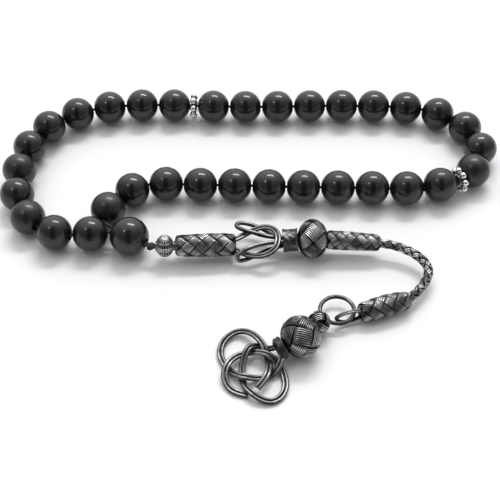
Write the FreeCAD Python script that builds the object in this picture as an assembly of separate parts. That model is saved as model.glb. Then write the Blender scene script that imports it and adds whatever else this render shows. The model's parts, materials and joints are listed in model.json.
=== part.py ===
import FreeCAD, Part
import math
import os

# Misbaha: 33 round stone beads in three groups of eleven on one doubled thread, two silver
# marker rings between the groups, a leader bead where both strands meet, and a long tassel of
# woven silver wire. It lies on a flat surface. Millimetres, +Z up, the surface is Z = 0 and the
# origin is under the middle of the whole piece.

V = FreeCAD.Vector

# ---- driving dimensions ----
BEAD_DIAMETER = 9.75
BEAD_BORE = 2.2                      # drilled hole in every bead
BORE_CHAMFER = 0.35                  # broken edge of the drilled holes
GROUP_SIZE = 11
GROUP_GAPS = (0.24, 0.14, 0.06)      # play between neighbouring beads in each group
FIRST_BEAD_AT = 17.6                 # along the thread, from its end to the first bead's middle
LEADER_DIAMETER = 10.7
LEADER_BORE = 2.5
LEADER_CENTRE = V(-33.6, -4.7, 5.35)
LEADER_ANGLE = -28.0                 # degrees in plan, the way the leader's hole points

MARKER_THICKNESS = 2.0
MARKER_CORE_DIAMETER = 5.6
MARKER_CORE_THICKNESS = 1.3
GRANULE_DIAMETER = 2.0
GRANULE_COUNT = 8
GRANULE_CIRCLE = 5.8                 # diameter through the middles of the granules
FIRST_GRANULE = 0.5                  # its place round the ring, in steps from one to the next

THREAD_DIAMETER = 0.8
KNOT_CENTRE = V(-27.6, -8.3, 5.3)
KNOT_RADIUS = 0.95
TASSEL_THREAD_RADIUS = 0.75
THREAD_STOP_RADIUS = 1.6             # of the knot that keeps the thread inside the upper sleeve
THREAD_STOP_AT = 9.4                 # this and the next distances run from the black knot's middle
RUN_CLEARANCE = 0.15                 # between pieces that turn past each other
FIT_CLEARANCE = 0.05                 # between pieces that are fixed to each other

UPPER_SLEEVE_END = V(-5.0, -6.8, 4.3)
FILIGREE_RADIUS, FILIGREE_HALF, FILIGREE_AT = 3.05, 2.6, 3.8
CAP_AT, CAP_END_AT = 6.6, 6.95
CAP_RADII = (1.3, 1.65, 2.0)
UPPER_SLEEVE_AT = 7.0
UPPER_SLEEVE_RADII = (2.85, 3.0, 3.1, 3.15, 2.95)
UPPER_SLEEVE_BORE = 1.9

LINK_PAIR_WIRE = 0.85                # diameter of each wire of the left link
LINK_PAIR_SPACING = 0.95             # between the middles of its two wires
LINK_WIRE = 1.2                      # diameter of the right link's wire
COLLAR_START, COLLAR_END = V(8.1, -5.7, 4.65), V(12.2, -5.6, 4.95)
COLLAR_RADII = (3.25, 3.0, 2.95, 3.05, 3.3)
COLLAR_BORE = 2.2
UPPER_BALL_CENTRE = V(16.2, -5.5, 5.3)
UPPER_BALL_RADIUS, UPPER_BALL_HALF = 5.25, 4.1
CORE_RADIUS = 1.2
MIDDLE_SLEEVE_START, MIDDLE_SLEEVE_END = V(20.3, -5.75, 5.15), V(34.1, -6.5, 4.7)
MIDDLE_SLEEVE_RADII = (2.5, 2.55, 2.45, 2.35, 2.2)

CHAIN_RADIUS = 1.25
CHAIN_GAP = 0.3                      # from a chain joint to the round end of each stretch
CHAIN_JOINTS = (V(34.3, -6.53, 4.7), V(41.0, -8.5, 4.35), V(45.6, -12.8, 3.8),
                V(45.7, -18.2, 3.35), V(40.75, -24.3, 2.95))

LOWER_SLEEVE_START, LOWER_SLEEVE_END = V(40.4, -24.8, 2.9), V(27.8, -29.3, 2.9)
LOWER_SLEEVE_RADII = (2.2, 2.7, 2.85, 2.75, 2.45)
LOWER_SLEEVE_BORE = 1.75

RING_CENTRE = V(21.7, -28.1, 2.7)
RING_RADIUS, RING_WIRE = 4.4, 1.1
LOWER_LOOP_WIRE = 1.0
STEM_RADIUS = 0.8                    # of the ring's stem, which runs through knot and ball
SMALL_KNOT_CENTRE, SMALL_KNOT_RADIUS, SMALL_KNOT_HALF = V(16.8, -32.7, 3.6), 2.9, 2.75
LOWER_BALL_CENTRE = V(11.8, -38.7, 5.45)
LOWER_BALL_RADIUS, LOWER_BALL_HALF = 5.4, 5.1
LOWER_COLLAR_CENTRE, LOWER_COLLAR_LENGTH = V(6.8, -41.25, 3.97), 2.2
LOWER_COLLAR_RADII = (2.7, 3.1, 3.1, 2.7)
FLOWER_WIRE, FLOWER_SPACING = 0.86, 0.95

# ---- routes, each a list of points that its rounded line is drawn from ----
THREAD_ROUTE = [
    (-28.1, -8.3, 5.35), (-33.5, -5.4, 5.35), (-38.8, -2.5, 5.3), (-48.0, -4.3, 4.9),
    (-56.8, -2.9, 4.9), (-63.6, 3.3, 4.9), (-67.4, 11.9, 4.9), (-68.0, 22.1, 4.9),
    (-66.3, 32.9, 4.9), (-61.5, 42.1, 4.9), (-52.5, 47.9, 4.9), (-41.0, 50.7, 4.9),
    (-27.0, 51.1, 4.9), (-10.0, 50.1, 4.9), (7.0, 50.0, 4.9), (24.0, 50.7, 4.9),
    (39.0, 50.4, 4.9), (51.0, 49.5, 4.9), (60.2, 45.7, 4.9), (66.4, 38.1, 4.9),
    (68.3, 28.5, 4.9), (63.6, 19.7, 4.9), (54.6, 15.5, 4.9), (44.0, 14.0, 4.9),
    (28.0, 14.7, 4.9), (12.0, 14.8, 4.9), (-4.0, 15.6, 4.9), (-18.0, 15.7, 4.9),
    (-28.0, 16.7, 4.9), (-34.8, 13.9, 4.9), (-39.2, 10.1, 4.9), (-41.4, 5.5, 4.9),
    (-41.2, 0.6, 5.05), (-38.5, -1.3, 5.3), (-34.7, -3.5, 5.35), (-27.8, -7.7, 5.35)]
LEFT_LINK_ROUTE = [
    (-12.0, -6.2, 4.6), (-6.4, -5.85, 4.35), (-2.8, -3.0, 3.8), (0.2, -1.3, 4.2),
    (3.1, -0.6, 5.0), (6.0, -2.4, 5.85), (7.1, -6.1, 6.25), (6.0, -9.9, 5.7),
    (2.7, -11.1, 4.4), (-0.9, -10.1, 3.5), (-3.4, -8.8, 3.6), (-6.4, -7.75, 4.35),
    (-12.0, -8.1, 4.6)]
RIGHT_LINK_UPPER_ROUTE = [
    (9.9, -5.05, 4.0), (8.0, -4.7, 3.7), (5.4, -2.3, 3.4), (2.4, 0.2, 3.3), (-1.0, 1.4, 3.8),
    (-4.0, 1.5, 4.3), (-4.8, -0.3, 4.8), (-3.1, -2.0, 5.2), (-0.2, -3.1, 5.3), (3.4, -4.1, 4.7),
    (8.0, -4.95, 4.9), (9.9, -5.05, 5.2)]
RIGHT_LINK_LOWER_ROUTE = [
    (9.9, -6.4, 5.2), (8.0, -6.35, 4.9), (4.4, -6.4, 4.7), (0.8, -7.8, 5.2),
    (-2.1, -9.4, 5.3), (-4.35, -10.8, 4.4), (-4.1, -11.5, 2.8), (-1.9, -10.5, 2.2),
    (0.9, -9.1, 2.5), (4.1, -7.7, 3.2), (8.0, -6.55, 3.6), (9.9, -6.4, 4.0)]
LOWER_LOOP_ROUTE = [
    (30.6, -28.5, 3.5), (28.2, -29.3, 3.9), (25.4, -29.9, 4.5), (22.8, -30.6, 4.2),
    (20.8, -31.0, 2.7), (22.7, -30.9, 1.1), (25.4, -30.2, 0.8), (28.2, -29.5, 1.95),
    (30.6, -28.6, 2.3)]
FLOWER_A_ROUTE = [
    (6.3, -40.3, 3.7), (4.8, -40.1, 2.3), (2.9, -39.3, 1.2), (0.5, -39.2, 2.4),
    (-1.3, -40.6, 3.6), (-2.4, -43.1, 2.5), (-2.9, -45.9, 1.0), (-2.6, -48.6, 0.55),
    (-1.9, -50.9, 1.4), (-0.7, -52.8, 2.1), (1.4, -54.3, 1.4), (4.0, -54.9, 0.7),
    (6.4, -53.9, 0.6), (7.9, -51.2, 0.6), (7.9, -47.9, 0.7), (6.8, -44.9, 1.1),
    (4.6, -43.1, 3.2), (1.9, -41.8, 3.4), (-1.2, -40.8, 1.5), (-4.3, -41.9, 1.7),
    (-6.4, -44.6, 2.3), (-7.3, -47.5, 1.7), (-6.4, -50.3, 0.7), (-4.2, -52.2, 0.6),
    (-1.4, -52.8, 0.55)]
FLOWER_B_ROUTE = [
    (7.3, -42.3, 3.9), (7.1, -43.9, 3.4), (6.2, -45.9, 2.3), (4.1, -47.4, 0.6),
    (0.9, -48.4, 1.1), (-2.3, -48.6, 2.4), (-4.9, -47.0, 1.2), (-6.9, -44.4, 0.6),
    (-8.4, -41.1, 0.7), (-8.1, -37.7, 0.9), (-6.1, -34.9, 1.1), (-3.3, -33.7, 1.4),
    (-0.5, -35.1, 2.3), (1.4, -37.6, 3.2), (2.8, -40.1, 3.0), (3.7, -42.5, 1.5),
    (4.0, -45.1, 2.0), (3.6, -47.7, 2.7), (2.6, -49.9, 2.5), (1.0, -51.6, 1.8)]

ARC_SHARE = 0.45                     # part of the shorter run that a rounded corner takes up
SEAT_SEARCH = (0.9, 1.3)             # spacings along the thread between which the next seat lies
SEAT_HALVINGS = 30


def rounded_edges(route):
    """Straight runs joined by tangent arcs: (edges, radii of the arcs)."""
    points = [V(*p) for p in route]
    edges, radii, last = [], [], points[0]
    for before, corner, after in zip(points, points[1:], points[2:]):
        run_in, run_out = corner - before, after - corner
        trim = ARC_SHARE * min(run_in.Length, run_out.Length)
        turn = run_in.getAngle(run_out)
        start = corner - run_in.normalize() * trim
        end = corner + run_out.normalize() * trim
        radius = trim / math.tan(turn / 2)
        inward = (run_out - run_in).normalize()
        middle = corner + inward * radius * (1 / math.cos(turn / 2) - 1)
        edges += [Part.LineSegment(last, start).toShape(), Part.Arc(start, middle, end).toShape()]
        radii.append(radius)
        last = end
    edges.append(Part.LineSegment(last, points[-1]).toShape())
    return edges, radii


def tube(name, route, diameter):
    """A round wire or thread along a rounded route."""
    edges, radii = rounded_edges(route)
    path = Part.Wire(edges)
    first = edges[0]
    start_dir = first.tangentAt(first.FirstParameter)
    circle = Part.Circle(first.Vertexes[0].Point, start_dir, diameter / 2)
    solid = path.makePipeShell([Part.Wire([circle.toShape()])], True, False)
    share = solid.Volume / (path.Length * math.pi * diameter ** 2 / 4)
    print(f"{name}: length {path.Length:.1f}, volume over section times length {share:.4f}, "
          f"radii {', '.join(f'{r:.1f}' for r in radii)}")
    return solid


def beside(route, offset):
    """The same route moved sideways in plan, for one wire of a flat pair."""
    points, moved = [V(*p) for p in route], []
    for number, point in enumerate(points):
        ahead = points[min(number + 1, len(points) - 1)] - point
        behind = point - points[max(number - 1, 0)]
        way = sum((V(d.x, d.y, 0).normalize() for d in (ahead, behind) if d.Length), V())
        side = V(-way.y, way.x, 0).normalize()
        moved.append(tuple(point + side * offset))
    return moved


def wire_pair(name, route, diameter, spacing):
    """Two wires side by side, as one group of two solids."""
    return Part.Compound([tube(name, beside(route, side * spacing / 2), diameter)
                          for side in (-1, 1)])


def placed(shape, base, direction):
    """A shape that was made along +Z from the origin, moved to base and turned to direction."""
    shape.Placement = FreeCAD.Placement(base, FreeCAD.Rotation(V(0, 0, 1), direction))
    return shape


def cylinder(radius, base, end):
    return placed(Part.makeCylinder(radius, (end - base).Length), base, end - base)


def rod(radius, points):
    """A straight-sided rod through points, rounded at every bend."""
    parts = [cylinder(radius, start, end) for start, end in zip(points, points[1:])]
    parts += [Part.makeSphere(radius, corner) for corner in points[1:-1]]
    return parts[0].fuse(parts[1:]).removeSplitter()


def bored_ball(diameter, bore, centre, direction):
    """A ball with a straight drilled hole, its edges broken."""
    reach = diameter
    tools = [Part.makeCylinder(bore / 2, 2 * reach, V(0, 0, -reach))]
    mouth = math.sqrt(diameter ** 2 - bore ** 2) / 2
    for side in (-1, 1):
        tools.append(Part.makeCone(bore / 2, bore / 2 + 2 * BORE_CHAMFER, 2 * BORE_CHAMFER,
                                   V(0, 0, side * (mouth - BORE_CHAMFER)), V(0, 0, side)))
    return placed(Part.makeSphere(diameter / 2).cut(tools), centre, direction)


def pressed_ball(radius, half_length, centre, direction):
    """A ball that is flattened along one direction."""
    squeeze = FreeCAD.Matrix()
    squeeze.scale(V(1, 1, half_length / radius))
    return placed(Part.makeSphere(radius).transformGeometry(squeeze), centre, direction)


def sleeve(radii, bore_radius, start, end):
    """A turned tube whose outline runs smoothly through radii, evenly spaced along it."""
    length = (end - start).Length
    step = length / (len(radii) - 1)
    outline = [V(r, 0, n * step) for n, r in enumerate(radii)]
    curve = Part.BSplineCurve()
    curve.interpolate(outline)
    inner_low, inner_high = V(bore_radius, 0, 0), V(bore_radius, 0, length)
    wire = Part.Wire([curve.toShape(), Part.makeLine(outline[-1], inner_high),
                      Part.makeLine(inner_high, inner_low), Part.makeLine(inner_low, outline[0])])
    return placed(Part.Face(wire).revolve(V(), V(0, 0, 1), 360), start, end - start)


def capsule(radius, start, end):
    """A rod with round ends that reach from start to end."""
    along = (end - start).normalize()
    low, high = start + along * radius, end - along * radius
    return cylinder(radius, low, high).fuse([Part.makeSphere(radius, low),
                                             Part.makeSphere(radius, high)]).removeSplitter()


def marker_ring(centre, direction):
    """A small washer with a row of granules round its rim."""
    core = Part.makeCylinder(MARKER_CORE_DIAMETER / 2, MARKER_CORE_THICKNESS,
                             V(0, 0, -MARKER_CORE_THICKNESS / 2))
    granules = []
    for number in range(GRANULE_COUNT):
        angle = 2 * math.pi * (number + FIRST_GRANULE) / GRANULE_COUNT
        outward = V(math.cos(angle), math.sin(angle), 0)
        granules.append(Part.makeSphere(GRANULE_DIAMETER / 2, outward * (GRANULE_CIRCLE / 2),
                                        outward))
    bore = Part.makeCylinder(BEAD_BORE / 2, 2 * MARKER_THICKNESS, V(0, 0, -MARKER_THICKNESS))
    return placed(core.fuse(granules).cut(bore), centre, direction)


class ThreadLine:
    """The thread's centre line, read by distance from its first end."""

    def __init__(self, route):
        self.edges = rounded_edges(route)[0]

    def at(self, distance):
        for edge in self.edges:
            if distance <= edge.Length:
                return edge.valueAt(edge.getParameterByLength(distance))
            distance -= edge.Length
        return self.edges[-1].Vertexes[-1].Point

    def seat(self, distance, length):
        """Where a bead of this length sits: (middle of the bead, direction of its hole)."""
        low, high = self.at(distance - length / 2), self.at(distance + length / 2)
        return (self.at(distance) + (low + high) / 2) / 2, high - low

    def next_seat(self, distance, spacing, length):
        """The distance at which the next bead's middle is spacing away from this one's."""
        here = self.seat(distance, length)[0]
        near, far = (distance + share * spacing for share in SEAT_SEARCH)
        for _ in range(SEAT_HALVINGS):
            middle = (near + far) / 2
            if (self.seat(middle, length)[0] - here).Length < spacing:
                near = middle
            else:
                far = middle
        return far


def report_seat(name, centre, direction):
    along = V(direction).normalize()
    print(f"{name}: centre {centre.x:.2f} {centre.y:.2f} {centre.z:.2f}, "
          f"hole along {along.x:.4f} {along.y:.4f} {along.z:.4f}")


def string_beads():
    """The beads and marker rings in their places on the thread."""
    line, nodes, distance = ThreadLine(THREAD_ROUTE), {}, FIRST_BEAD_AT
    for group, gap in enumerate(GROUP_GAPS):
        for place in range(GROUP_SIZE):
            number = group * GROUP_SIZE + place + 1
            if number > 1:
                ring = MARKER_THICKNESS + gap if place == 0 else 0
                before = distance
                distance = line.next_seat(distance, BEAD_DIAMETER + gap + ring, BEAD_DIAMETER)
                if place == 0:
                    seat = line.seat((before + distance) / 2, MARKER_THICKNESS)
                    nodes[f"marker_ring_{group}"] = marker_ring(*seat)
                    report_seat(f"marker_ring_{group}", *seat)
            centre, way = line.seat(distance, BEAD_DIAMETER)
            nodes[f"bead_{number:02d}"] = bored_ball(BEAD_DIAMETER, BEAD_BORE, centre, way)
            report_seat(f"bead_{number:02d}", centre, way)
    return nodes


def leader_and_thread():
    angle = math.radians(LEADER_ANGLE)
    return {
        "leader_bead": bored_ball(LEADER_DIAMETER, LEADER_BORE, LEADER_CENTRE,
                                  V(math.cos(angle), math.sin(angle), 0)),
        "thread_loop": tube("thread_loop", THREAD_ROUTE, THREAD_DIAMETER),
        "thread_knot": Part.makeSphere(KNOT_RADIUS, KNOT_CENTRE)}


def upper_tassel():
    """From the knot to the left half of the wire link, all on one axis."""
    along = (UPPER_SLEEVE_END - KNOT_CENTRE).normalize()

    def on_axis(distance):
        return KNOT_CENTRE + along * distance

    stop = on_axis(THREAD_STOP_AT)
    thread = cylinder(TASSEL_THREAD_RADIUS, on_axis(KNOT_RADIUS + RUN_CLEARANCE), stop)
    return {
        "tassel_thread": thread.fuse(Part.makeSphere(THREAD_STOP_RADIUS, stop)).removeSplitter(),
        "filigree_ball": pressed_ball(
            FILIGREE_RADIUS, FILIGREE_HALF, on_axis(FILIGREE_AT), along).cut(
                cylinder(TASSEL_THREAD_RADIUS + RUN_CLEARANCE, on_axis(FILIGREE_AT - FILIGREE_HALF),
                         on_axis(FILIGREE_AT + FILIGREE_HALF))),
        "tassel_cap": sleeve(CAP_RADII, TASSEL_THREAD_RADIUS + FIT_CLEARANCE,
                             on_axis(CAP_AT), on_axis(CAP_END_AT)),
        "upper_sleeve": sleeve(UPPER_SLEEVE_RADII, UPPER_SLEEVE_BORE,
                               on_axis(UPPER_SLEEVE_AT), UPPER_SLEEVE_END),
        "left_link_loop": wire_pair("left_link_loop", LEFT_LINK_ROUTE, LINK_PAIR_WIRE,
                                    LINK_PAIR_SPACING)}


def middle_tassel():
    """The right half of the wire link, the collar, the upper woven ball and its sleeve."""
    core_start = (COLLAR_START + COLLAR_END) / 2
    core_line = [core_start, UPPER_BALL_CENTRE, MIDDLE_SLEEVE_END]
    ball = pressed_ball(UPPER_BALL_RADIUS, UPPER_BALL_HALF, UPPER_BALL_CENTRE,
                        MIDDLE_SLEEVE_START - COLLAR_END)
    return {
        "right_link_loops": Part.Compound([
            tube("right_link_upper", RIGHT_LINK_UPPER_ROUTE, LINK_WIRE),
            tube("right_link_lower", RIGHT_LINK_LOWER_ROUTE, LINK_WIRE)]),
        "neck_collar": sleeve(COLLAR_RADII, COLLAR_BORE, COLLAR_START, COLLAR_END),
        "upper_ball": ball.cut(rod(CORE_RADIUS + RUN_CLEARANCE, core_line)),
        "middle_core": rod(CORE_RADIUS, core_line),
        "middle_sleeve": sleeve(MIDDLE_SLEEVE_RADII, CORE_RADIUS + RUN_CLEARANCE,
                                MIDDLE_SLEEVE_START, MIDDLE_SLEEVE_END)}


def chain():
    """The braided chain, as four stretches with a joint between each two."""
    nodes = {}
    for number, (start, end) in enumerate(zip(CHAIN_JOINTS, CHAIN_JOINTS[1:]), 1):
        along = (end - start).normalize()
        nodes[f"chain_{number}"] = capsule(CHAIN_RADIUS, start + along * CHAIN_GAP,
                                           end - along * CHAIN_GAP)
    return nodes


def lower_tassel():
    """The lower sleeve and its loop, the ring, the lower woven ball and the flower knot."""
    to_knot = SMALL_KNOT_CENTRE - RING_CENTRE
    root = RING_CENTRE + V(to_knot.x, to_knot.y, 0).normalize() * RING_RADIUS
    collar_way = (LOWER_COLLAR_CENTRE - LOWER_BALL_CENTRE).normalize()
    collar_start, collar_end = (LOWER_COLLAR_CENTRE + collar_way * (side * LOWER_COLLAR_LENGTH / 2)
                                for side in (-1, 1))
    stem_line = [root, SMALL_KNOT_CENTRE, LOWER_BALL_CENTRE, collar_end]
    hole = rod(STEM_RADIUS + FIT_CLEARANCE, stem_line)
    knot = pressed_ball(SMALL_KNOT_RADIUS, SMALL_KNOT_HALF, SMALL_KNOT_CENTRE,
                        LOWER_BALL_CENTRE - SMALL_KNOT_CENTRE)
    ball = pressed_ball(LOWER_BALL_RADIUS, LOWER_BALL_HALF, LOWER_BALL_CENTRE, collar_way)
    hollow = pressed_ball(LOWER_BALL_RADIUS + FIT_CLEARANCE, LOWER_BALL_HALF + FIT_CLEARANCE,
                          LOWER_BALL_CENTRE, collar_way)
    collar = sleeve(LOWER_COLLAR_RADII, STEM_RADIUS + FIT_CLEARANCE, collar_start, collar_end)
    ring = Part.makeTorus(RING_RADIUS, RING_WIRE / 2, RING_CENTRE)
    return {
        "lower_sleeve": sleeve(LOWER_SLEEVE_RADII, LOWER_SLEEVE_BORE,
                               LOWER_SLEEVE_START, LOWER_SLEEVE_END),
        "lower_loop": tube("lower_loop", LOWER_LOOP_ROUTE, LOWER_LOOP_WIRE),
        "link_ring": ring.fuse(rod(STEM_RADIUS, stem_line[:-1] + [collar_start])).removeSplitter(),
        "small_knot": knot.cut(hole),
        "lower_ball": ball.cut(hole),
        "lower_collar": collar.cut(hollow),
        "flower_strand_a": wire_pair("flower_strand_a", FLOWER_A_ROUTE, FLOWER_WIRE,
                                     FLOWER_SPACING),
        "flower_strand_b": wire_pair("flower_strand_b", FLOWER_B_ROUTE, FLOWER_WIRE,
                                     FLOWER_SPACING)}


def main():
    os.makedirs("parts", exist_ok=True)
    nodes = {**string_beads(), **leader_and_thread(), **upper_tassel(), **middle_tassel(),
             **chain(), **lower_tassel()}
    for name, shape in nodes.items():
        shape.exportStep(f"parts/{name}.step")
    print(len(nodes), "nodes")


main()
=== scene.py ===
import json
import math

import bpy
import numpy as np
from mathutils import Matrix, Vector


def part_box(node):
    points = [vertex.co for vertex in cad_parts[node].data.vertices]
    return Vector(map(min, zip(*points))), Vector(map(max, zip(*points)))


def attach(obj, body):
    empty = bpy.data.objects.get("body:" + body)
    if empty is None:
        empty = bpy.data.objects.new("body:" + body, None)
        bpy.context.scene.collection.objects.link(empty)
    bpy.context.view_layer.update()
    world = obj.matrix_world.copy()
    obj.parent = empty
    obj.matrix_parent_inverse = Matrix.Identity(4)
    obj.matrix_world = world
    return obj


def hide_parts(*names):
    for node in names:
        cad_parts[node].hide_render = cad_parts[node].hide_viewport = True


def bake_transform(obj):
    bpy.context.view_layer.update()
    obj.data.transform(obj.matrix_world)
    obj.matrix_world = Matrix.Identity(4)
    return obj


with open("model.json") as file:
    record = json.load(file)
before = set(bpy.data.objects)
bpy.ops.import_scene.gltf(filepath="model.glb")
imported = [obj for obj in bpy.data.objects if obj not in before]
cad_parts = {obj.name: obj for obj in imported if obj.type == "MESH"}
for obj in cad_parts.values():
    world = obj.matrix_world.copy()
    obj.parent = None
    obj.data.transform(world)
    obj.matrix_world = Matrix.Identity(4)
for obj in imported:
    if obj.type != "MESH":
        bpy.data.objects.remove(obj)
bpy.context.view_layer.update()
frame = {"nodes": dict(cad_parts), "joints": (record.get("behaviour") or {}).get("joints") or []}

# Misbaha prayer beads on a plain pale surface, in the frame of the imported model: +Z up, the surface
# at Z = 0. The pieces are drawn in millimetres and turned into metres where a mesh is made. The
# camera, the thread, the floor and the lights are in metres.

MM = 0.001
UP = np.array([0.0, 0.0, 1.0])
JOINTS = {joint["child"]: joint for joint in frame["joints"]}


# ---- camera ----
camera_data = bpy.data.cameras.new("camera")
camera_data.lens, camera_data.sensor_width = 72, 36
camera = bpy.data.objects.new("camera", camera_data)
camera.location = (-0.0008, -0.1888, 0.2055)
aim = Vector((-0.0008, -0.0049, 0)) - camera.location
camera.rotation_euler = aim.to_track_quat("-Z", "Y").to_euler()
bpy.context.collection.objects.link(camera)
bpy.context.scene.camera = camera


# ---- materials ----
def node_adder(tree):
    """A function that adds a node of some kind to this tree."""
    def add(kind, links=None, **settings):
        """links maps the node's inputs to another node's output or to a value."""
        node = tree.nodes.new(kind)
        for key, value in settings.items():
            setattr(node, key, value)
        for key, value in (links or {}).items():
            if isinstance(value, bpy.types.NodeSocket):
                tree.links.new(value, node.inputs[key])
            else:
                node.inputs[key].default_value = value
        return node

    return add


def new_material(name):
    """An empty material with a Principled shader: the material, a function that adds a node to
    it, the shader, and a function that links a source to an input of the shader."""
    material = bpy.data.materials.new(name)
    material.use_nodes = True
    tree = material.node_tree
    tree.nodes.clear()
    add = node_adder(tree)
    shader = add("ShaderNodeBsdfPrincipled")
    output = add("ShaderNodeOutputMaterial")
    tree.links.new(shader.outputs[0], output.inputs["Surface"])

    def connect(socket, source):
        tree.links.new(source, shader.inputs[socket])

    return material, add, shader, connect


def ramp(add, source, stops):
    """The colour that a source has on a ramp; stops hold a place and a grey or a colour each."""
    node = add("ShaderNodeValToRGB", {"Fac": source})
    elements = node.color_ramp.elements
    while len(elements) < len(stops):
        elements.new(0.5)
    for element, (place, value) in zip(elements, stops):
        element.position = place
        element.color = (*value, 1) if hasattr(value, "__len__") else (value, value, value, 1)
    return node.outputs["Color"]


def stone_material(name, roughness):
    """Polished black stone: faint cloudy bands, slightly uneven polish."""
    material, add, shader, connect = new_material(name)
    place = add("ShaderNodeTexCoord").outputs["Object"]
    shift = add("ShaderNodeObjectInfo").outputs["Random"]
    moved = add("ShaderNodeVectorMath", {0: place, 1: (0.03, 0.05, 0.07)}, operation="ADD")
    cloud = add("ShaderNodeTexNoise", {"Vector": moved.outputs[0], "W": shift, "Scale": 240.0,
                                       "Detail": 5.0, "Roughness": 0.6},
                noise_dimensions="4D").outputs["Fac"]
    connect("Base Color", ramp(add, cloud, [(0.3, (0.004, 0.004, 0.0045)),
                                            (0.75, (0.014, 0.014, 0.015))]))
    polish = add("ShaderNodeTexNoise", {"Vector": place, "W": shift, "Scale": 420.0,
                                        "Detail": 3.0}, noise_dimensions="4D").outputs["Fac"]
    connect("Roughness", ramp(add, polish, [(0.3, roughness - 0.03), (0.7, roughness + 0.05)]))
    grain = add("ShaderNodeTexNoise", {"Vector": place, "Scale": 3500.0, "Detail": 2.0})
    bump = add("ShaderNodeBump", {"Height": grain.outputs["Fac"], "Strength": 0.03,
                                  "Distance": 0.00004})
    connect("Normal", bump.outputs[0])
    shader.inputs["IOR"].default_value = 1.52
    return material


def silver_material(name, dark, middle, bright, shine):
    """Silver blackened in its hollows and rubbed bright where it stands out, painted darker round
    wire sides as shade.
    """
    material, add, shader, connect = new_material(name)
    place = add("ShaderNodeTexCoord").outputs["Object"]
    # The wear attribute carries rubbed wear and painted shade together: dark where wires turn away or
    # lie deep, bright on crests.
    wear = add("ShaderNodeAttribute", attribute_name="wear").outputs["Fac"]
    patches = add("ShaderNodeTexNoise", {"Vector": place, "Scale": 380.0, "Detail": 6.0,
                                         "Roughness": 0.65}).outputs["Fac"]
    spread = add("ShaderNodeMapRange", {"Value": patches, "From Min": 0.3, "From Max": 0.7,
                                        "To Min": -0.2, "To Max": 0.2})
    total = add("ShaderNodeMath", {0: wear, 1: spread.outputs[0]}, operation="ADD",
                use_clamp=True).outputs[0]
    connect("Base Color", ramp(add, total, [(0.15, dark), (0.55, middle), (0.92, bright)]))
    connect("Roughness", ramp(add, total, [(0.2, shine + 0.2), (0.85, shine)]))
    scratches = add("ShaderNodeTexNoise", {"Vector": place, "Scale": 4200.0, "Detail": 3.0})
    bump = add("ShaderNodeBump", {"Height": scratches.outputs["Fac"], "Strength": 0.12,
                                  "Distance": 0.00005})
    connect("Normal", bump.outputs[0])
    shader.inputs["Metallic"].default_value = 1.0
    return material


def thread_material():
    """Black plied thread with a slight sheen."""
    material, add, shader, connect = new_material("black_thread")
    place = add("ShaderNodeTexCoord").outputs["Object"]
    fibres = add("ShaderNodeTexNoise", {"Vector": place, "Scale": 5200.0, "Detail": 4.0})
    connect("Base Color", ramp(add, fibres.outputs["Fac"], [(0.3, 0.004), (0.75, 0.028)]))
    bump = add("ShaderNodeBump", {"Height": fibres.outputs["Fac"], "Strength": 0.6,
                                  "Distance": 0.00008})
    connect("Normal", bump.outputs[0])
    shader.inputs["Roughness"].default_value = 0.75
    shader.inputs["Sheen Weight"].default_value = 0.25
    return material


def floor_material():
    """A pale surface, faintly mottled."""
    material, add, shader, connect = new_material("pale_surface")
    place = add("ShaderNodeTexCoord").outputs["Object"]
    mottle = add("ShaderNodeTexNoise", {"Vector": place, "Scale": 3.0, "Detail": 3.0})
    connect("Base Color", ramp(add, mottle.outputs["Fac"], [(0.3, 0.86), (0.7, 0.9)]))
    shader.inputs["Roughness"].default_value = 0.7
    shader.inputs["Specular IOR Level"].default_value = 0.2
    return material


STONE = stone_material("black_stone", 0.17)
STONE_SATIN = stone_material("black_stone_satin", 0.3)
AGED = silver_material("aged_silver", 0.006, 0.08, 0.6, 0.22)
WIRE = silver_material("wire_silver", 0.012, 0.08, 0.3, 0.3)
DARK = silver_material("dark_silver", 0.006, 0.03, 0.15, 0.4)
BRIGHT = silver_material("bright_silver", 0.05, 0.3, 0.7, 0.16)
THREAD = thread_material()


# ---- mesh tools ----
def unit(vectors):
    length = np.linalg.norm(vectors, axis=-1, keepdims=True)
    return vectors / np.maximum(length, 1e-12)


def make_piece(name, parts, material, body, replaced=()):
    """One mesh object, in place, from parts of (points in mm, faces, wear and painted shade at each
    point).
    """
    points, faces, wear, start = [], [], [], 0
    for part_points, part_faces, part_wear in parts:
        points.append(part_points)
        faces += [tuple(i + start for i in face) for face in part_faces]
        wear.append(part_wear)
        start += len(part_points)
    mesh = bpy.data.meshes.new(name)
    mesh.from_pydata((np.concatenate(points) * MM).tolist(), [], faces)
    mesh.attributes.new("wear", "FLOAT", "POINT").data.foreach_set(
        "value", np.concatenate(wear).astype(np.float32))
    mesh.polygons.foreach_set("use_smooth", [True] * len(mesh.polygons))
    mesh.update()
    piece = bpy.data.objects.new(name, mesh)
    bpy.context.collection.objects.link(piece)
    mesh.materials.append(material)
    if body:
        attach(piece, body)
    if replaced:
        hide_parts(*replaced)
    return piece


def steered_curve(name, points):
    """A smooth curve from the first of these points to the last, steered by those between."""
    curve = bpy.data.curves.new(name, "CURVE")
    curve.dimensions = "3D"
    curve.resolution_u = 16
    spline = curve.splines.new("NURBS")
    spline.points.add(len(points) - 1)
    for target, point in zip(spline.points, points):
        target.co = (*point, 1)
    spline.order_u = 3
    spline.use_endpoint_u = True
    return curve


def smooth_line(points, spacing=0.25):
    """Evenly spaced points, in mm, of the smooth line that these points steer."""
    curve = steered_curve("line", points)
    holder = bpy.data.objects.new("line", curve)
    mesh = bpy.data.meshes.new_from_object(holder)
    line = np.array([v.co for v in mesh.vertices])
    bpy.data.objects.remove(holder)
    bpy.data.curves.remove(curve)
    bpy.data.meshes.remove(mesh)
    return resample(line, spacing)


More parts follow.
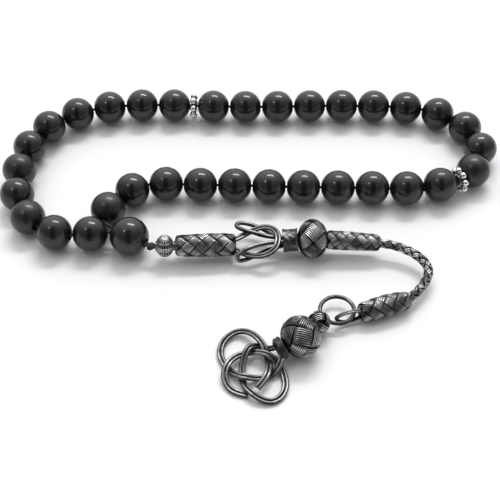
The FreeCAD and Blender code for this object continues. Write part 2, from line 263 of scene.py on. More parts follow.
def resample(line, spacing):
    along = np.r_[0, np.cumsum(np.linalg.norm(np.diff(line, axis=0), axis=1))]
    even = np.linspace(0, along[-1], max(3, int(round(along[-1] / spacing)) + 1))
    return np.stack([np.interp(even, along, line[:, k]) for k in range(3)], axis=1)


def tangents(line):
    return unit(np.gradient(line, axis=-2))


def carried_normals(line):
    """Directions across the line, up at first, that turn with it and never twist about it."""
    ways, normals = tangents(line), []
    normal = UP
    for way in ways:
        normal = normal - way * (normal @ way)
        normal = normal / np.linalg.norm(normal)
        normals.append(normal)
    return np.array(normals)


def sweep(paths, normals, radius, sides=8, closed=False, wear=1.0, polish=1.2):
    """Round wires along paths (wires, points, 3), as one part for make_piece. normals point away
    from the core; wear is greatest on that side, and the wire is painted darker round its sides as
    shade; polish is how fast the wear and painted shade drop round a wire."""
    paths, normals = np.asarray(paths, float), np.asarray(normals, float)
    wires, count = paths.shape[:2]
    radius = np.broadcast_to(radius, (wires, count))
    wear = np.broadcast_to(wear, (wires, count))
    if closed:
        ways = unit(np.roll(paths, -1, axis=1) - np.roll(paths, 1, axis=1))
    else:
        ways = tangents(paths)
    normals = unit(normals - ways * np.sum(normals * ways, axis=2, keepdims=True))
    across = np.cross(ways, normals)
    angles = 2 * math.pi * np.arange(sides) / sides
    ring = (normals[:, :, None] * np.cos(angles)[:, None]
            + across[:, :, None] * np.sin(angles)[:, None])
    points = paths[:, :, None] + ring * radius[:, :, None, None]
    # Painted shade: each wire darkens round its sides, away from its normal, besides its rubbed
    # bright crest.
    shade = wear[:, :, None] * ((1 + np.cos(angles)) / 2) ** polish
    index = np.arange(wires * count * sides).reshape(wires, count, sides)
    ahead = np.roll(index, -1, axis=1) if closed else index[:, 1:]
    here = index if closed else index[:, :-1]
    quads = np.stack([here, np.roll(here, -1, axis=2), np.roll(ahead, -1, axis=2), ahead],
                     axis=-1).reshape(-1, 4)
    faces = [tuple(quad) for quad in quads.tolist()]
    if not closed:
        for wire in index.tolist():
            faces += [tuple(reversed(wire[0])), tuple(wire[-1])]
    return points.reshape(-1, 3), faces, np.clip(shade, 0, 1).reshape(-1)


def frame_of(direction):
    """Two directions across this one, and it: columns of a rotation."""
    along = unit(np.array(direction, float))
    helper = UP if abs(along[2]) < 0.95 else np.array([1.0, 0, 0])
    side = unit(np.cross(helper, along))
    return np.stack([side, np.cross(along, side), along], axis=1)


def revolve(profile, centre, direction, sides=64, wear=0.6, bumps=None):
    """A turned shape from (distance along, radius) points, as one part for make_piece.
    bumps(angle, along) adds to the radius. Open ends are closed with a flat face."""
    profile, turn = np.array(profile, float), frame_of(direction)
    angles = 2 * math.pi * np.arange(sides) / sides
    radius = np.repeat(profile[:, 1:2], sides, axis=1)
    if bumps is not None:
        radius = radius + bumps(angles[None, :], profile[:, 0:1])
    local = np.stack([radius * np.cos(angles), radius * np.sin(angles),
                      np.repeat(profile[:, 0:1], sides, axis=1)], axis=-1)
    points = local.reshape(-1, 3) @ turn.T + np.array(centre, float)
    index = np.arange(len(profile) * sides).reshape(len(profile), sides)
    here, ahead = index[:-1], index[1:]
    quads = np.stack([here, np.roll(here, -1, axis=1), np.roll(ahead, -1, axis=1), ahead],
                     axis=-1).reshape(-1, 4)
    faces = [tuple(quad) for quad in quads.tolist()]
    if not np.allclose(profile[0], profile[-1]):
        faces += [tuple(reversed(index[0].tolist())), tuple(index[-1].tolist())]
    return points, faces, np.full(radius.size, float(wear))


def ball_part(centre, radius, squash=(1, 1, 1), rings=16, sides=24, wear=1.0):
    """A solid ball, stretched along the axes by squash."""
    polar = np.linspace(0.02, math.pi - 0.02, rings)
    profile = [(-radius * math.cos(a), radius * math.sin(a)) for a in polar]
    points, faces, shade = revolve(profile, (0, 0, 0), UP, sides=sides, wear=wear)
    return points * np.array(squash) + np.array(centre), faces, shade


def moved(part, centre, direction):
    """A part made about the Z axis, with that axis turned this way and put in this place."""
    points, faces, wear = part
    return points @ frame_of(direction).T + np.array(centre), faces, wear


def rounded_profile(length, radii, inner, lip):
    """A smooth outline near evenly spaced radii, turned in over a lip to inner at both ends."""
    knots = [(0.0, inner), (0.0, radii[0] - lip)]
    knots += [(lip + (length - 2 * lip) * n / (len(radii) - 1), r) for n, r in enumerate(radii)]
    knots += [(length, radii[-1] - lip), (length, inner)]
    line = smooth_line([(x, r, 0) for x, r in knots], 0.1)
    return line[:, :2]


class Turned:
    """A surface of revolution that wires are plaited on: t from 0 to 1 along its outline."""

    def __init__(self, profile, centre, direction):
        self.profile, self.centre = np.array(profile), np.array(centre, float)
        self.turn = frame_of(direction)
        steps = np.linalg.norm(np.diff(self.profile, axis=0), axis=1)
        self.t = np.r_[0, np.cumsum(steps)] / steps.sum()

    def __call__(self, t, angle):
        x, r = (np.interp(t, self.t, self.profile[:, k]) for k in (0, 1))
        local = np.stack([r * np.cos(angle), r * np.sin(angle), x], axis=-1)
        return local @ self.turn.T + self.centre


class Hose:
    """A round hose along a smooth line, as a surface for plaiting."""

    def __init__(self, line, radius):
        self.line, self.radius = line, radius
        self.normals = carried_normals(line)
        self.sides = np.cross(tangents(line), self.normals)
        self.t = np.linspace(0, 1, len(line))

    def __call__(self, t, angle):
        def read(values):
            return np.stack([np.interp(t, self.t, values[:, k]) for k in range(3)], axis=-1)
        ring = (read(self.normals) * np.cos(angle)[..., None]
                + read(self.sides) * np.sin(angle)[..., None])
        return read(self.line) + self.radius * ring


DIP = 2.2                            # how sharply a strand dips under the next
TONE, TONE_SPREAD = 0.84, 0.16       # mean tone of a panel, patina and painted reflection, and how far panels differ
UNDER_WEAR_AND_SHADE, OVER_WEAR_AND_SHADE = 0.35, 0.65   # wear and painted shade at a strand's lowest, under a crossing, and what its highest has more
SMALL_STEP = 1e-3                    # of t and angle, to measure the surface's slopes


def slopes(surface, t, angle):
    """How the surface moves with t and with the angle."""
    along_t = surface(t + SMALL_STEP, angle) - surface(t - SMALL_STEP, angle)
    along_a = surface(t, angle + SMALL_STEP) - surface(t, angle - SMALL_STEP)
    return along_t / (2 * SMALL_STEP), along_a / (2 * SMALL_STEP)


def plait(surface, leads, bights, wires, wire_radius, steps=90, lift=None, phase=0.0, span=(0, 1),
          fill=0.93, patina=0.0):
    """Flat strands of parallel wires plaited over a surface, over one and under one.
    bights strands run each way; they cross leads - 1 times between the ends. A strand swings by
    lift, fills this share of its room, and patina shifts which panels are painted bright,
    as patina and as painted reflection. Returns arrays (strands x wires, points, 3) of paths and
    normals, then radius and wear with painted shade."""
    lift = wire_radius if lift is None else lift
    t = np.linspace(span[0], span[1], steps)
    paths, normals, radii, shades = [], [], [], []
    for family in (1, -1):
        slope = family * math.pi * leads / bights
        over = np.tanh(DIP * family * np.cos(math.pi * leads * t)) / math.tanh(DIP)
        for strand in range(bights):
            angle = phase + 2 * math.pi * strand / bights + slope * t
            point = surface(t, angle)
            way = unit(np.gradient(point, axis=0))
            along_t, along_a = slopes(surface, t, angle)
            outward = unit(np.cross(along_a, along_t))
            across = np.cross(outward, way)
            room = 2 * math.pi / bights * np.abs(np.sum(across * along_a, axis=1)) * fill
            pitch = np.minimum(2 * wire_radius, room / wires)
            # Painted reflection with patina: whole panels are brighter or darker, as if some caught
            # the light.
            tone = TONE + TONE_SPREAD * np.sin(2.1 * np.round(leads * t) + 2.6 * strand
                                               + 1.3 * family + patina)
            for wire in range(wires):
                offset = (wire - (wires - 1) / 2) * pitch
                move_t, move_a = (
                    offset * np.sum(across * slope_way, axis=1)
                    / np.maximum(np.sum(slope_way ** 2, axis=1), 1e-9)
                    for slope_way in (along_t, along_a))
                place = surface(np.clip(t + move_t, 0, 1), angle + move_a)
                paths.append(place + outward * (lift * over)[:, None])
                normals.append(outward)
                radii.append(pitch / 2)
                # Painted shade with patina: a strand is darker where it dips under the next strand.
                shades.append(tone * (UNDER_WEAR_AND_SHADE + OVER_WEAR_AND_SHADE * np.clip(0.5 + 0.6 * over, 0, 1)))
    return np.array(paths), np.array(normals), np.array(radii), np.array(shades)


# ---- thread, in metres ----
THREAD_ROUTE = [
    (-0.0281, -0.0083, 0.00535), (-0.0335, -0.0054, 0.00535), (-0.0388, -0.0025, 0.0053),
    (-0.0480, -0.0043, 0.0049), (-0.0568, -0.0029, 0.0049), (-0.0636, 0.0033, 0.0049),
    (-0.0674, 0.0119, 0.0049), (-0.0680, 0.0221, 0.0049), (-0.0663, 0.0329, 0.0049),
    (-0.0615, 0.0421, 0.0049), (-0.0525, 0.0479, 0.0049), (-0.0410, 0.0507, 0.0049),
    (-0.0270, 0.0511, 0.0049), (-0.0100, 0.0501, 0.0049), (0.0070, 0.0500, 0.0049),
    (0.0240, 0.0507, 0.0049), (0.0390, 0.0504, 0.0049), (0.0510, 0.0495, 0.0049),
    (0.0602, 0.0457, 0.0049), (0.0664, 0.0381, 0.0049), (0.0683, 0.0285, 0.0049),
    (0.0636, 0.0197, 0.0049), (0.0546, 0.0155, 0.0049), (0.0440, 0.0140, 0.0049),
    (0.0280, 0.0147, 0.0049), (0.0120, 0.0148, 0.0049), (-0.0040, 0.0156, 0.0049),
    (-0.0180, 0.0157, 0.0049), (-0.0280, 0.0167, 0.0049), (-0.0348, 0.0139, 0.0049),
    (-0.0392, 0.0101, 0.0049), (-0.0414, 0.0055, 0.0049), (-0.0412, 0.0006, 0.00505),
    (-0.0385, -0.0013, 0.0053), (-0.0347, -0.0035, 0.00535), (-0.0278, -0.0077, 0.00535)]
THREAD_DIAMETER, THREAD_LENGTH = 0.0008, 0.363

thread_curve = steered_curve("bead_thread", THREAD_ROUTE)
thread_curve.bevel_depth = THREAD_DIAMETER / 2
thread_curve.bevel_resolution = 4
thread_curve.use_fill_caps = True
thread = bpy.data.objects.new("bead_thread", thread_curve)
bpy.context.collection.objects.link(thread)
thread_curve.materials.append(THREAD)
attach(thread, "thread")
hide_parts("thread_loop")


# ---- stone beads ----
BEADS, SATIN_BEADS = 33, (3, 5, 22, 33)
BEAD_RADIUS, BEAD_BORE = 4.875, 1.1
LEADER_RADIUS, LEADER_BORE = 5.35, 1.25
EDGE = 0.22                          # width of the broken edge at each mouth of a bore


def bead_profile(radius, bore):
    """Outline of a bored ball, from the middle of its bore round and back."""
    mouth = math.asin((bore + EDGE) / radius)
    arc = [(-radius * math.cos(a), radius * math.sin(a))
           for a in np.linspace(mouth, math.pi - mouth, 49)]
    end = arc[-1][0]
    start = [(0.0, bore), (-end + EDGE, bore), (-end + 0.3 * EDGE, bore + 0.25 * EDGE),
             (-end + 0.05 * EDGE, bore + 0.7 * EDGE)]
    finish = [(-x, r) for x, r in reversed(start)]
    return start + arc + finish


def bead_mesh(name, radius, bore):
    points, faces, _ = revolve(bead_profile(radius, bore), (0, 0, 0), UP, sides=72)
    mesh = bpy.data.meshes.new(name)
    mesh.from_pydata((points * MM).tolist(), [], faces)
    mesh.polygons.foreach_set("use_smooth", [True] * len(mesh.polygons))
    mesh.materials.append(STONE)
    return mesh


def place_bead(node, mesh, material):
    """A bead in the place of its CAD solid, with its bore on the joint's axis."""
    low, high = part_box(node)
    centre, turn = (low + high) / 2, frame_of(JOINTS[node]["axis"])
    piece = bpy.data.objects.new(f"{node}_stone", mesh)
    bpy.context.collection.objects.link(piece)
    piece.matrix_world = Matrix.Translation(centre) @ Matrix(turn.tolist()).to_4x4()
    piece.material_slots[0].link = "OBJECT"
    piece.material_slots[0].material = material
    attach(piece, node)
    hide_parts(node)


ball_mesh = bead_mesh("stone_ball", BEAD_RADIUS, BEAD_BORE)
for number in range(1, BEADS + 1):
    place_bead(f"bead_{number:02d}", ball_mesh, STONE_SATIN if number in SATIN_BEADS else STONE)
place_bead("leader_bead", bead_mesh("leader_ball", LEADER_RADIUS, LEADER_BORE), STONE)


# ---- marker rings ----
BAND_OUTLINE = [(-0.62, 1.15), (-0.62, 2.2), (-0.5, 2.75), (0.5, 2.75), (0.62, 2.2), (0.62, 1.15),
                (-0.62, 1.15)]
RIM_RADIUS, RIM_AT, RIM_WIRE = 1.75, 0.66, 0.22          # of the wire on each face of the band
GRANULES, GRANULE_RADIUS, GRANULE_CIRCLE = 8, 1.0, 2.9


def marker_ring():
    """Band, rims and granules about the Z axis."""
    parts = [revolve(BAND_OUTLINE, (0, 0, 0), UP, sides=48, wear=0.15)]
    angles = np.linspace(0, 2 * math.pi, 48, endpoint=False)
    for side in (-1, 1):
        rim = [(RIM_RADIUS * math.cos(a), RIM_RADIUS * math.sin(a), side * RIM_AT) for a in angles]
        parts.append(sweep([rim], [np.tile(UP * side, (len(angles), 1))], RIM_WIRE, closed=True))
    for number in range(GRANULES):
        angle = 2 * math.pi * (number + 0.5) / GRANULES
        spot = (GRANULE_CIRCLE * math.cos(angle), GRANULE_CIRCLE * math.sin(angle), 0)
        parts.append(ball_part(spot, GRANULE_RADIUS, wear=0.95))
    return parts


for ring in ("marker_ring_1", "marker_ring_2"):
    low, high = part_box(ring)
    middle = np.array((low + high) / 2) / MM
    make_piece(f"{ring}_granules",
               [moved(part, middle, JOINTS[ring]["axis"]) for part in marker_ring()],
               BRIGHT, ring, [ring])


# ---- black knot and tassel thread ----
KNOT = np.array([-27.6, -8.3, 5.3])
UPPER_END = np.array([-5.0, -6.8, 4.3])                  # of the upper sleeve
UPPER_WAY = unit(UPPER_END - KNOT)
KNOT_CORD = 0.38                                         # radius of the cord in the knot
PLIES, PLY_RADIUS, PLY_CIRCLE, PLY_TWIST = 3, 0.4, 0.38, 1.9      # twist in radians per mm
ROUND = np.linspace(0, 2 * math.pi, 120, endpoint=False)


def on_upper(distance):
    """The point this far from the knot on the axis of the tassel's upper part."""
    return KNOT + UPPER_WAY * distance


def black_knot():
    """A cord tied in a trefoil and pulled tight, round a solid core."""
    circle = 0.55 + 0.3 * np.cos(3 * ROUND)
    line = np.stack([circle * np.cos(2 * ROUND) * 0.95, circle * np.sin(2 * ROUND) * 0.85,
                     0.68 * np.sin(3 * ROUND)], axis=1)
    cord = sweep([line], [unit(line)], KNOT_CORD, sides=12, closed=True, wear=0.6)
    core = ball_part((0, 0, 0), 0.6, (1, 1, 1.6), wear=0.2)
    return [moved(part, KNOT, UPPER_WAY) for part in (cord, core)]


def twisted_thread():
    """Three plies from the knot into the upper sleeve."""
    along, across = np.linspace(1.0, 9.0, 60), frame_of(UPPER_WAY)
    plies = []
    for ply in range(PLIES):
        turn = 2 * math.pi * ply / PLIES + along * PLY_TWIST
        plies.append(KNOT + UPPER_WAY * along[:, None]
                     + PLY_CIRCLE * (np.cos(turn)[:, None] * across[:, 0]
                                     + np.sin(turn)[:, None] * across[:, 1]))
    return [sweep(plies, [carried_normals(ply) for ply in plies], PLY_RADIUS, sides=12, wear=0.5)]


make_piece("black_knot", black_knot(), THREAD, "thread", ["thread_knot"])
make_piece("tassel_thread_plies", twisted_thread(), THREAD, "upper_tassel", ["tassel_thread"])


# ---- filigree ball and cap ----
FILIGREE = on_upper(3.8)
FILIGREE_POLE = (0.0, 0.35, 0.94)                        # roughly, before it is squared to the thread
FILIGREE_STRETCH = (0.95, 1.16, 1.16)                    # along the thread and both ways across
RIBS, RIB_CIRCLE, RIB_WIRE = 22, 2.5, 0.13
HOOPS = [(0.24, 2.52, 0.17), (-0.24, 2.52, 0.17), (1.35, 2.12, 0.1), (-1.35, 2.12, 0.1),
         (2.4, 0.62, 0.13), (-2.4, 0.62, 0.13)]          # height, radius and wire radius
POLE_AT, POLE_RADIUS, INNER_RADIUS = 2.42, 0.3, 2.36
EYE_AT = 2.3
EYE_OUTLINE = [(-0.2, 0.85), (-0.2, 1.25), (0.1, 1.35), (0.25, 1.05), (0.25, 0.85), (-0.2, 0.85)]
CAP_AT = 6.3
CAP_OUTLINE = [(0, 0.85), (0, 1.2), (0.15, 1.45), (0.65, 2.1), (0.85, 2.15), (0.85, 0.85),
               (0, 0.85)]


def filigree_ball():
    """Ribs from pole to pole and hoops round a smooth ball, with an eye each way for the thread."""
    pole = unit(np.array(FILIGREE_POLE))
    pole = unit(pole - UPPER_WAY * (pole @ UPPER_WAY))
    axes = np.stack([UPPER_WAY, np.cross(pole, UPPER_WAY), pole], axis=1)
    polar = np.linspace(0.12, math.pi - 0.12, 40)
    ribs = np.array([np.stack([np.sin(polar) * math.cos(a), np.sin(polar) * math.sin(a),
                               np.cos(polar)], axis=1)
                     for a in (2 * math.pi * rib / RIBS for rib in range(RIBS))])
    parts = [sweep(ribs * RIB_CIRCLE, ribs, RIB_WIRE, sides=6, wear=0.9)]
    circle = np.stack([np.cos(ROUND), np.sin(ROUND), 0 * ROUND], axis=1)
    for height, radius, wire in HOOPS:
        parts.append(sweep([circle * radius + UP * height], [circle], wire, closed=True))
    for side in (-1, 1):
        parts.append(ball_part((0, 0, side * POLE_AT), POLE_RADIUS, wear=0.9))
    parts.append(ball_part((0, 0, 0), INNER_RADIUS, rings=24, sides=48, wear=0.4))
    parts = [((points * FILIGREE_STRETCH) @ axes.T + FILIGREE, faces, wear)
             for points, faces, wear in parts]
    for side in (-1, 1):
        parts.append(revolve(EYE_OUTLINE, FILIGREE + UPPER_WAY * side * EYE_AT, UPPER_WAY * side,
                             sides=40, wear=0.7))
    return parts


def flutes(angle, along):
    return 0.09 * np.cos(9 * angle)


make_piece("filigree_ribs", filigree_ball(), AGED, "filigree_ball", ["filigree_ball"])
make_piece("tassel_cap_cone",
           [revolve(CAP_OUTLINE, on_upper(CAP_AT), UPPER_WAY, sides=54, wear=0.85, bumps=flutes)],
           BRIGHT, "upper_tassel", ["tassel_cap"])


# ---- woven sleeves and balls ----
# How fast the painted shade and wear fall off round each wire of a weave.
WEAVE_WEAR_SHADE_FALLOFF = 3.6


def woven(name, surface, body, node, core_inset=0.42, **weave):
    """A plait of wires over a turned surface, on a dark core that lies core_inset deeper."""
    paths, normals, radii, shades = plait(surface, **weave)
    parts = [sweep(paths, normals, radii, wear=shades, polish=WEAVE_WEAR_SHADE_FALLOFF)]
    profile = surface.profile.copy()
    profile[:, 1] = np.maximum(profile[:, 1] - core_inset, 0.05)
    parts.append(revolve(profile[::4], surface.centre, surface.turn[:, 2], sides=48, wear=0.0))
    make_piece(name, parts, AGED, body, [node])


def sleeve_surface(start, end, radii, drop, inner, lip):
    """The surface of a sleeve with these outer radii, drop deeper, so that wires lie on it."""
    start, end = np.array(start), np.array(end)
    profile = rounded_profile(np.linalg.norm(end - start), [r - drop for r in radii], inner, lip)
    return Turned(profile, start, end - start)


def ball_surface(centre, direction, radius, half, opening):
    """A ball pressed to twice half along its axis, open to this radius at both ends."""
    start = math.asin(opening / radius)
    profile = [(-half * math.cos(a), radius * math.sin(a))
               for a in np.linspace(start, math.pi - start, 160)]
    return Turned(profile, centre, direction)


SMALL_KNOT = (16.8, -32.7, 3.6)

woven("upper_sleeve_weave",
      sleeve_surface(on_upper(7.0), UPPER_END, (2.85, 3.0, 3.1, 3.15, 2.95), drop=0.4, inner=1.3,
                     lip=0.25),
      "upper_tassel", "upper_sleeve", leads=9, bights=5, wires=5, wire_radius=0.27)
woven("middle_sleeve_weave",
      sleeve_surface((20.3, -5.75, 5.15), (34.1, -6.5, 4.7), (2.5, 2.55, 2.45, 2.35, 2.2),
                     drop=0.34, inner=1.15, lip=0.2),
      "middle_tassel", "middle_sleeve", leads=11, bights=5, wires=4, wire_radius=0.23)
woven("lower_sleeve_weave",
      sleeve_surface((40.4, -24.8, 2.9), (27.8, -29.3, 2.9), (2.2, 2.7, 2.85, 2.75, 2.45),
                     drop=0.38, inner=1.1, lip=0.3),
      "lower_tassel", "lower_sleeve", leads=9, bights=5, wires=4, wire_radius=0.28)
woven("upper_ball_weave",
      ball_surface((16.2, -5.5, 5.3), (8.1, -0.15, 0.2), radius=4.9, half=3.9, opening=0.8),
      "middle_tassel", "upper_ball", core_inset=0.5, leads=4, bights=5, wires=8,
      wire_radius=0.265, steps=110, lift=0.22, phase=0.68, patina=2.35)
woven("lower_ball_weave",
      ball_surface((11.8, -38.7, 5.45), (-5.0, -2.55, -1.48), radius=4.95, half=4.65, opening=0.8),
      "flower_end", "lower_ball", core_inset=0.5, leads=4, bights=5, wires=8,
      wire_radius=0.27, steps=110, lift=0.22, phase=0.95)
woven("small_knot_weave",
      ball_surface(SMALL_KNOT, (-5.0, -6.0, 1.85), radius=2.55, half=2.4, opening=0.5),
      "flower_end", "small_knot", core_inset=0.5, leads=3, bights=4, wires=4,
      wire_radius=0.26, steps=60, lift=0.22)


# ---- hammered collar ----
COLLAR_START, COLLAR_WAY = (8.1, -5.7, 4.65), np.array([4.1, 0.1, 0.3])


def hammered(angle, along):
    return (0.05 * np.sin(5 * angle + 2.1 * along) * np.sin(1.7 * along + 3 * angle)
            + 0.035 * np.sin(11 * angle - 3.3 * along))


def collar_outline():
    """A waisted tube with a turned rim at each end."""
    length, bore, waist = np.linalg.norm(COLLAR_WAY), 2.2, 3.04
    rim = [(0.0, bore), (0.0, 3.14), (0.12, 3.24), (0.35, 3.24), (0.5, 3.1), (0.65, 3.16),
           (0.85, 3.08)]
    tube = [(x, waist + 0.05 * (x - 2.05) ** 2 / 2) for x in np.linspace(1.1, 3.1, 14)]
    far_rim = [(3.3, 3.0), (3.45, 3.1), (3.6, 3.03), (3.75, 3.2), (3.95, 3.26), (length, 3.15),
               (length, bore)]
    return rim + tube + far_rim + rim[:1]


make_piece("neck_collar_hammered",
           [revolve(collar_outline(), COLLAR_START, COLLAR_WAY, sides=96, wear=0.5,
                    bumps=hammered)], AGED, "middle_tassel", ["neck_collar"])


# ---- bent wires ----
def beside(line, offset):
    """The same line, moved sideways in plan."""
    ways = tangents(line)
    side = unit(np.stack([-ways[:, 1], ways[:, 0], 0 * ways[:, 0]], axis=1))
    return line + side * offset


def bent_wires(name, routes, diameter, body, node, spacing=None):
    """A wire along each route or, with a spacing, two side by side."""
    offsets = (0.0,) if spacing is None else (-spacing / 2, spacing / 2)
    parts = []
    for route in routes:
        line = smooth_line(route, 0.22)
        for offset in offsets:
            path = beside(line, offset) if offset else line
            # Each wire is painted brighter on the side its normal points to, up at first, and darker
            # round its sides, as wear and painted shade.
            parts.append(sweep([path], [carried_normals(path)], diameter / 2, sides=14, wear=0.8))
    make_piece(name, parts, WIRE, body, [node])


LEFT_LINK = [
    (-12.0, -6.2, 4.6), (-6.4, -5.85, 4.35), (-2.8, -3.0, 3.8), (0.2, -1.3, 4.2), (3.1, -0.6, 5.0),
    (6.0, -2.4, 5.85), (7.1, -6.1, 6.25), (6.0, -9.9, 5.7), (2.7, -11.1, 4.4), (-0.9, -10.1, 3.5),
    (-3.4, -8.8, 3.6), (-6.4, -7.75, 4.35), (-12.0, -8.1, 4.6)]
RIGHT_UPPER = [
    (9.9, -5.05, 4.0), (8.0, -4.7, 3.7), (5.4, -2.3, 3.4), (2.4, 0.2, 3.3), (-1.0, 1.4, 3.8),
    (-4.0, 1.5, 4.3), (-4.8, -0.3, 4.8), (-3.1, -2.0, 5.2), (-0.2, -3.1, 5.3), (3.4, -4.1, 4.7),
    (8.0, -4.95, 4.9), (9.9, -5.05, 5.2)]
RIGHT_LOWER = [
    (9.9, -6.4, 5.2), (8.0, -6.35, 4.9), (4.4, -6.4, 4.7), (0.8, -7.8, 5.2), (-2.1, -9.4, 5.3),
    (-4.35, -10.8, 4.4), (-4.1, -11.5, 2.8), (-1.9, -10.5, 2.2), (0.9, -9.1, 2.5),
    (4.1, -7.7, 3.2), (8.0, -6.55, 3.6), (9.9, -6.4, 4.0)]
LOWER_LOOP = [
    (30.6, -28.5, 3.5), (28.2, -29.3, 3.9), (25.4, -29.9, 4.5), (22.8, -30.6, 4.2),
    (20.8, -31.0, 2.7), (22.7, -30.9, 1.1), (25.4, -30.2, 0.8), (28.2, -29.5, 1.95),
    (30.6, -28.6, 2.3)]
FLOWER_A = [
    (6.3, -40.3, 3.7), (4.8, -40.1, 2.3), (2.9, -39.3, 1.2), (0.5, -39.2, 2.4), (-1.3, -40.6, 3.6),
    (-2.4, -43.1, 2.5), (-2.9, -45.9, 1.0), (-2.6, -48.6, 0.55), (-1.9, -50.9, 1.4),
    (-0.7, -52.8, 2.1), (1.4, -54.3, 1.4), (4.0, -54.9, 0.7), (6.4, -53.9, 0.6), (7.9, -51.2, 0.6),
    (7.9, -47.9, 0.7), (6.8, -44.9, 1.1), (4.6, -43.1, 3.2), (1.9, -41.8, 3.4), (-1.2, -40.8, 1.5),
    (-4.3, -41.9, 1.7), (-6.4, -44.6, 2.3), (-7.3, -47.5, 1.7), (-6.4, -50.3, 0.7),
    (-4.2, -52.2, 0.6), (-1.4, -52.8, 0.55)]
FLOWER_B = [
    (7.3, -42.3, 3.9), (7.1, -43.9, 3.4), (6.2, -45.9, 2.3), (4.1, -47.4, 0.6), (0.9, -48.4, 1.1),
    (-2.3, -48.6, 2.4), (-4.9, -47.0, 1.2), (-6.9, -44.4, 0.6), (-8.4, -41.1, 0.7),
    (-8.1, -37.7, 0.9), (-6.1, -34.9, 1.1), (-3.3, -33.7, 1.4), (-0.5, -35.1, 2.3),
    (1.4, -37.6, 3.2), (2.8, -40.1, 3.0), (3.7, -42.5, 1.5), (4.0, -45.1, 2.0), (3.6, -47.7, 2.7),
    (2.6, -49.9, 2.5), (1.0, -51.6, 1.8)]

bent_wires("left_link_wires", [LEFT_LINK], 0.86, "upper_tassel", "left_link_loop", spacing=0.93)
bent_wires("right_link_wires", [RIGHT_UPPER, RIGHT_LOWER], 1.2, "middle_tassel",
           "right_link_loops")
bent_wires("lower_loop_wires", [LOWER_LOOP], 0.56, "lower_tassel", "lower_loop", spacing=0.56)
bent_wires("flower_wires_a", [FLOWER_A], 0.88, "flower_end", "flower_strand_a", spacing=0.93)
bent_wires("flower_wires_b", [FLOWER_B], 0.88, "flower_end", "flower_strand_b", spacing=0.93)


# ---- ring ----
RING_CENTRE, RING_CIRCLE, RING_WIRE = np.array([21.7, -28.1, 2.7]), 4.4, 0.55
STEM, STEM_RADIUS = [(18.9, -31.4, 2.75), (17.8, -32.1, 3.2), SMALL_KNOT, (14.3, -35.7, 4.5)], 0.75


def link_ring():
    """A closed ring with a stem through the small knot."""
    turns = np.linspace(0, 2 * math.pi, 160, endpoint=False)
    line = RING_CENTRE + RING_CIRCLE * np.stack([np.cos(turns), np.sin(turns), 0 * turns], axis=1)
    stem = smooth_line(STEM)
    return [sweep([line], [np.tile(UP, (len(turns), 1))], RING_WIRE, sides=16, closed=True,
                  wear=0.55),
            sweep([stem], [carried_normals(stem)], STEM_RADIUS, sides=12, wear=0.3)]


make_piece("link_ring_wire", link_ring(), WIRE, "flower_end", ["link_ring"])


# ---- wound collar between the lower ball and the flower ----
WOUND_MIDDLE, WOUND_AXIS = np.array([6.8, -41.25, 3.97]), unit(np.array([-0.861, -0.439, -0.255]))
WOUND_TURNS, WOUND_WIDTH, WOUND_WANDER = 3.2, 1.7, 0.12
WOUND_LAYERS = [(2.62, 0.0, 0.4), (2.2, 0.35, 0.38)]     # radius, sideways slip and wire radius
CORE_OUTLINE = [(-1.1, 0.9), (-1.1, 1.9), (0, 2.3), (0.9, 1.9), (1.2, 1.2), (1.2, 0.9), (-1.1, 0.9)]


def wound_collar():
    """Two layers of wire wound unevenly round a core."""
    across = frame_of(WOUND_AXIS)
    angle = np.linspace(0, 2 * math.pi * WOUND_TURNS, 260)
    done = angle / angle[-1]
    outward = across[:, 0] * np.cos(angle)[:, None] + across[:, 1] * np.sin(angle)[:, None]
    parts = []
    for layer, (size, slip, wire) in enumerate(WOUND_LAYERS):
        height = (done - 0.5) * WOUND_WIDTH + slip * np.sin(angle * 0.9)
        radius = size + WOUND_WANDER * np.sin(angle * 0.63 + layer) - 0.25 * (2 * done - 1) ** 2
        line = WOUND_MIDDLE + outward * radius[:, None] + WOUND_AXIS * height[:, None]
        parts.append(sweep([line], [outward], wire, sides=12, wear=0.45))
    parts.append(revolve(CORE_OUTLINE, WOUND_MIDDLE, WOUND_AXIS, sides=48, wear=0.1))
    return parts


make_piece("lower_collar_winding", wound_collar(), AGED, "flower_end", ["lower_collar"])


# ---- braided chain ----
CHAIN_LINE = smooth_line([(32.6, -6.42, 4.74), (34.6, -6.6, 4.7), (37.9, -7.2, 4.6),
                          (41.8, -8.8, 4.35), (45.0, -11.2, 4.0), (46.9, -14.3, 3.6),
                          (46.3, -17.9, 3.3), (44.0, -21.2, 3.1), (41.6, -23.9, 2.95),
                          (38.6, -25.5, 2.9)], 0.1)
CHAIN_BODIES = ["middle_tassel", "chain_1", "chain_2", "chain_3", "chain_4", "lower_tassel"]
CHAIN_JOINTS = [np.array(JOINTS[body]["pos_m"]) / MM for body in CHAIN_BODIES[1:]]
CHAIN_RADIUS, CHAIN_CORE = 0.84, 0.66
CHAIN_WEAVE = {"leads": 23, "bights": 4, "wires": 2, "wire_radius": 0.27, "lift": 0.2, "fill": 0.98}
# How fast the painted shade and wear fall off round each wire of the chain.
CHAIN_WEAR_SHADE_FALLOFF = 1.7


def braid_piece(number, first, last):
    """The braid from one point of the chain's line to another."""
    end = len(CHAIN_LINE) - 1
    paths, normals, radii, shades = plait(Hose(CHAIN_LINE, CHAIN_RADIUS),
                                          span=(first / end, last / end),
                                          steps=2 + (last - first) * 2, **CHAIN_WEAVE)
    inner = CHAIN_LINE[first:last + 1]
    parts = [sweep(paths, normals, radii, wear=shades, polish=CHAIN_WEAR_SHADE_FALLOFF),
             sweep([inner], [carried_normals(inner)], CHAIN_CORE, sides=12, wear=0.55)]
    piece = make_piece(f"chain_braid_{number + 1}", parts, AGED, None)
    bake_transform(piece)
    if number:
        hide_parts(f"chain_{number}")


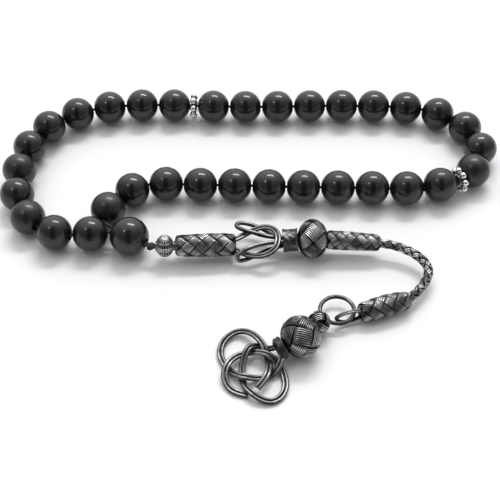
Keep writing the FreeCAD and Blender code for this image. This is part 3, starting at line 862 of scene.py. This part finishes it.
marks = [int(np.argmin(np.linalg.norm(CHAIN_LINE - joint, axis=1))) for joint in CHAIN_JOINTS]
cuts = [0] + [(a + b) // 2 for a, b in zip(marks, marks[1:])] + [len(CHAIN_LINE) - 1]
for number, mark in enumerate(marks):
    braid_piece(number, cuts[number], cuts[number + 1])


# ---- hidden core ----
core_mesh = frame["nodes"]["middle_core"].data
core_mesh.materials.clear()
core_mesh.materials.append(DARK)


# ---- floor, light and surroundings ----
bpy.ops.mesh.primitive_plane_add(size=3.0, location=(0, 0, -0.00002))
floor = bpy.context.object
floor.name = "pale_floor"
floor.data.materials.append(floor_material())


def soft_light(name, place, target, size, power):
    """A rectangular light of this width and height, aimed at a point."""
    data = bpy.data.lights.new(name, "AREA")
    data.shape, data.energy = "RECTANGLE", power
    data.size, data.size_y = size
    light = bpy.data.objects.new(name, data)
    light.location = place
    light.rotation_euler = (Vector(target) - Vector(place)).to_track_quat("-Z", "Y").to_euler()
    bpy.context.collection.objects.link(light)


soft_light("back_strip", (0.13, 0.55, 0.82), (0.13, 0, 0), (0.55, 0.12), 4.2)
soft_light("side_spark", (-0.35, -0.12, 0.75), (0, 0, 0), (0.06, 0.06), 0.35)


def studio_world():
    """Bright behind and above, dim at the sides, with a dark upright gap in front."""
    world = bpy.data.worlds.new("studio")
    world.use_nodes = True
    tree = world.node_tree
    add = node_adder(tree)

    def combine(operation, first, second):
        return add("ShaderNodeMath", {0: first, 1: second}, operation=operation).outputs[0]

    def step(value, start, end):
        """0 at start and 1 at end, with a smooth rise between."""
        return add("ShaderNodeMapRange", {"Value": value, "From Min": start, "From Max": end},
                   interpolation_type="SMOOTHSTEP").outputs[0]

    sky = add("ShaderNodeTexCoord").outputs["Generated"]
    x, y, z = add("ShaderNodeSeparateXYZ", {0: sky}).outputs
    toward_glow = combine("ADD", combine("MULTIPLY", y, 0.643), combine("MULTIPLY", z, 0.766))
    glow = ramp(add, toward_glow, [(0.0, 0.16), (0.3, 0.22), (0.6, 0.42), (0.76, 0.7),
                                   (0.93, 0.92), (1.0, 1.0)])
    sideways = add("ShaderNodeMath", {0: x}, operation="ABSOLUTE").outputs[0]
    gap = combine("MULTIPLY", step(sideways, 0.42, 0.12), step(y, 0.15, -0.25))
    low_front = combine("MULTIPLY", step(z, 0.45, 0.0), step(y, 0.1, -0.3))
    level = combine("MULTIPLY", combine("ADD", glow, combine("MULTIPLY", low_front, 0.35)),
                    combine("SUBTRACT", 1.0, combine("MULTIPLY", gap, 0.85)))
    grey = add("ShaderNodeCombineColor", {0: level, 1: level, 2: level})
    background = tree.nodes["Background"]
    tree.links.new(grey.outputs[0], background.inputs["Color"])
    background.inputs["Strength"].default_value = 1.85
    return world


bpy.context.scene.world = studio_world()
bpy.context.scene.view_settings.view_transform = "Standard"
